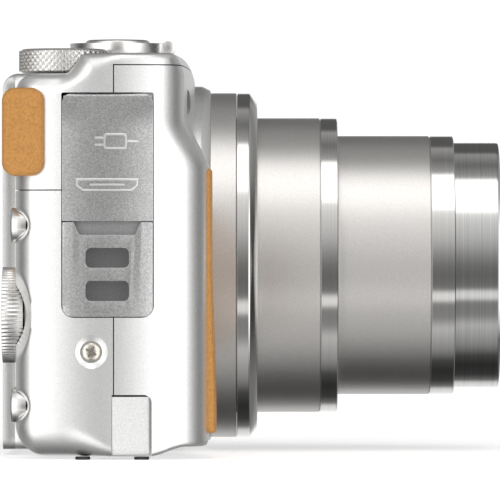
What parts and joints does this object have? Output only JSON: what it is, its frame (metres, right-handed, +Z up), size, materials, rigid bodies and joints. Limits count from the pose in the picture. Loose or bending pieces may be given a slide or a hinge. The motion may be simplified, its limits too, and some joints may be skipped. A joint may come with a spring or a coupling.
{
  "type": "compact digital camera",
  "caption": "Compact travel-zoom digital camera with extended telescoping lens, tan leather grip and thumb rest, swing-out screen, mode dial and side port door.",
  "frame": {"origin": "mouth of the tripod socket, in the plane that the feet stand on", "axes": "+Z up, lens looks along -Y, +X towards the user's left when the camera is held"},
  "size_m": [0.1124, 0.081, 0.0669],
  "materials": {
    "silver_paint": "fine metallic silver paint",
    "grey_paint": "darker metallic grey paint",
    "pale_rubber": "smooth pale rubber",
    "tan_leather": "fine grain tan leather",
    "satin_metal": "satin anodised",
    "bright_metal": "turned and polished",
    "black_plastic": "matte black",
    "cam_brass": "machined",
    "steel": "plain steel",
    "optical_glass": "coated glass",
    "screen_cover": "gloss black cover",
    "circuit_board": "green solder mask",
    "capacitor_sleeve": "shrink sleeve"
  },
  "bodies": {
    "camera_body": {"front_cover": "silver_paint", "top_cover": "silver_paint", "rear_cover": "silver_paint", "side_panel": "grey_paint", "port_door_pin": "steel", "grip_leather": "tan_leather", "thumb_rest": "tan_leather", "lens_boss": "satin_metal", "lens_bezel": "satin_metal", "bezel_ring": "bright_metal", "lens_base": "black_plastic", "zoom_motor": "steel", "image_sensor": "circuit_board", "main_board": "circuit_board", "port_bay": "black_plastic", "chassis": "steel", "dial_switch": "black_plastic", "release_switch": "black_plastic", "key_board": "circuit_board", "screen_bracket": "silver_paint", "screen_pin": "steel", "battery_door_pin": "steel", "battery": "black_plastic", "memory_card": "black_plastic", "flash_bracket": "steel", "flash_capacitor": "capacitor_sleeve", "tripod_bush": "steel", "feet": "black_plastic", "case_screws": "steel"},
    "cam_ring": {"cam_ring": "cam_brass"},
    "zoom_stage_1": {"barrel_1": "satin_metal", "barrel_1_trim": "bright_metal"},
    "zoom_stage_2": {"barrel_2": "satin_metal", "barrel_2_trim": "bright_metal", "inner_elements": "optical_glass", "iris_unit": "black_plastic"},
    "zoom_stage_3": {"barrel_3": "bright_metal", "front_element": "optical_glass"},
    "barrier_upper": {"barrier_upper": "black_plastic"},
    "barrier_lower": {"barrier_lower": "black_plastic"},
    "screen": {"screen_shell": "silver_paint", "screen_module": "black_plastic", "screen_bezel": "black_plastic", "screen_glass": "screen_cover"},
    "mode_dial": {"mode_dial": "satin_metal"},
    "zoom_lever": {"zoom_lever": "satin_metal"},
    "shutter_button": {"shutter_button": "satin_metal"},
    "power_button": {"power_button": "satin_metal"},
    "movie_button": {"movie_button": "satin_metal"},
    "control_wheel": {"control_wheel": "satin_metal"},
    "ok_button": {"ok_button": "satin_metal"},
    "play_button": {"play_button": "satin_metal"},
    "menu_button": {"menu_button": "satin_metal"},
    "delete_button": {"delete_button": "satin_metal"},
    "network_button": {"network_button": "satin_metal"},
    "port_door": {"port_door": "grey_paint"},
    "dc_flap": {"dc_flap": "pale_rubber"},
    "battery_door": {"battery_door": "silver_paint"},
    "battery_latch": {"battery_latch": "black_plastic"},
    "flash_head": {"flash_head": "silver_paint"}
  },
  "joints": [
    {"name": "zoom", "type": "slide", "parent": "camera_body", "child": "zoom_stage_1", "axis": [0, 1, 0], "range_m": [0, 0.013]},
    {"name": "zoom_2", "type": "slide", "parent": "zoom_stage_1", "child": "zoom_stage_2", "axis": [0, 1, 0], "range_m": [0, 0.0191]},
    {"name": "zoom_3", "type": "slide", "parent": "zoom_stage_2", "child": "zoom_stage_3", "axis": [0, 1, 0], "range_m": [0, 0.0071]},
    {"name": "cam_ring_turn", "type": "hinge", "parent": "camera_body", "child": "cam_ring", "pos_m": [-0.019, 0, 0.0306], "axis": [0, 1, 0], "range_deg": [0, 110]},
    {"name": "barrier", "type": "slide", "parent": "zoom_stage_3", "child": "barrier_upper", "axis": [0, 0, 1], "range_m": [-0.0094, 0]},
    {"name": "barrier_2", "type": "slide", "parent": "zoom_stage_3", "child": "barrier_lower", "axis": [0, 0, 1], "range_m": [0, 0.0094]},
    {"name": "mode_dial_turn", "type": "hinge", "parent": "camera_body", "child": "mode_dial", "pos_m": [-0.069, 0.0072, 0.063], "axis": [0, 0, 1], "continuous": true},
    {"name": "zoom_lever_turn", "type": "hinge", "parent": "camera_body", "child": "zoom_lever", "pos_m": [-0.056, -0.0012, 0.065], "axis": [0, 0, 1], "range_deg": [-20, 20], "stiffness_Nm_per_rad": 0.02},
    {"name": "shutter_button_press", "type": "slide", "parent": "camera_body", "child": "shutter_button", "axis": [0, 0, 1], "range_m": [-0.00045, 0], "stiffness_N_per_m": 800},
    {"name": "power_button_press", "type": "slide", "parent": "camera_body", "child": "power_button", "axis": [0, 0, 1], "range_m": [-0.0005, 0], "stiffness_N_per_m": 400},
    {"name": "movie_button_press", "type": "slide", "parent": "camera_body", "child": "movie_button", "axis": [0, 1, 0], "range_m": [-0.0004, 0], "stiffness_N_per_m": 400},
    {"name": "ok_button_press", "type": "slide", "parent": "camera_body", "child": "ok_button", "axis": [0, 1, 0], "range_m": [-0.0004, 0], "stiffness_N_per_m": 400},
    {"name": "play_button_press", "type": "slide", "parent": "camera_body", "child": "play_button", "axis": [0, 1, 0], "range_m": [-0.0004, 0], "stiffness_N_per_m": 400},
    {"name": "menu_button_press", "type": "slide", "parent": "camera_body", "child": "menu_button", "axis": [0, 1, 0], "range_m": [-0.0004, 0], "stiffness_N_per_m": 400},
    {"name": "delete_button_press", "type": "slide", "parent": "camera_body", "child": "delete_button", "axis": [0, 1, 0], "range_m": [-0.0004, 0], "stiffness_N_per_m": 400},
    {"name": "network_button_press", "type": "slide", "parent": "camera_body", "child": "network_button", "axis": [0, 1, 0], "range_m": [-0.0004, 0], "stiffness_N_per_m": 400},
    {"name": "control_wheel_turn", "type": "hinge", "parent": "camera_body", "child": "control_wheel", "pos_m": [-0.0685, 0.015, 0.02275], "axis": [0, 1, 0], "continuous": true},
    {"name": "screen_swing", "type": "hinge", "parent": "camera_body", "child": "screen", "pos_m": [0.025, 0.01465, 0.031], "axis": [0, 0, -1], "range_deg": [0, 180]},
    {"name": "port_door_swing", "type": "hinge", "parent": "camera_body", "child": "port_door", "pos_m": [-0.08235, 0, 0.0572], "axis": [0, 1, 0], "range_deg": [0, 90]},
    {"name": "dc_flap_bend", "type": "hinge", "parent": "camera_body", "child": "dc_flap", "pos_m": [-0.0824, -0.00607, 0.005], "axis": [0, 0, 1], "range_deg": [0, 85]},
    {"name": "battery_door_swing", "type": "hinge", "parent": "camera_body", "child": "battery_door", "pos_m": [-0.0442, 0, 0.0022], "axis": [0, -1, 0], "range_deg": [0, 90]},
    {"name": "battery_latch_slide", "type": "slide", "parent": "battery_door", "child": "battery_latch", "axis": [1, 0, 0], "range_m": [0, 0.0009]},
    {"name": "flash_pop_up", "type": "hinge", "parent": "camera_body", "child": "flash_head", "pos_m": [0.013, 0.0016, 0.0586], "axis": [-1, 0, 0], "range_deg": [0, 55]}
  ],
  "couplings": [
    {"joint": "zoom_2", "follows": "zoom", "ratio": 1.4692},
    {"joint": "zoom_3", "follows": "zoom", "ratio": 0.54615},
    {"joint": "cam_ring_turn", "follows": "zoom", "rad_per_m": 147.68},
    {"joint": "barrier_2", "follows": "barrier", "ratio": -1}
  ]
}
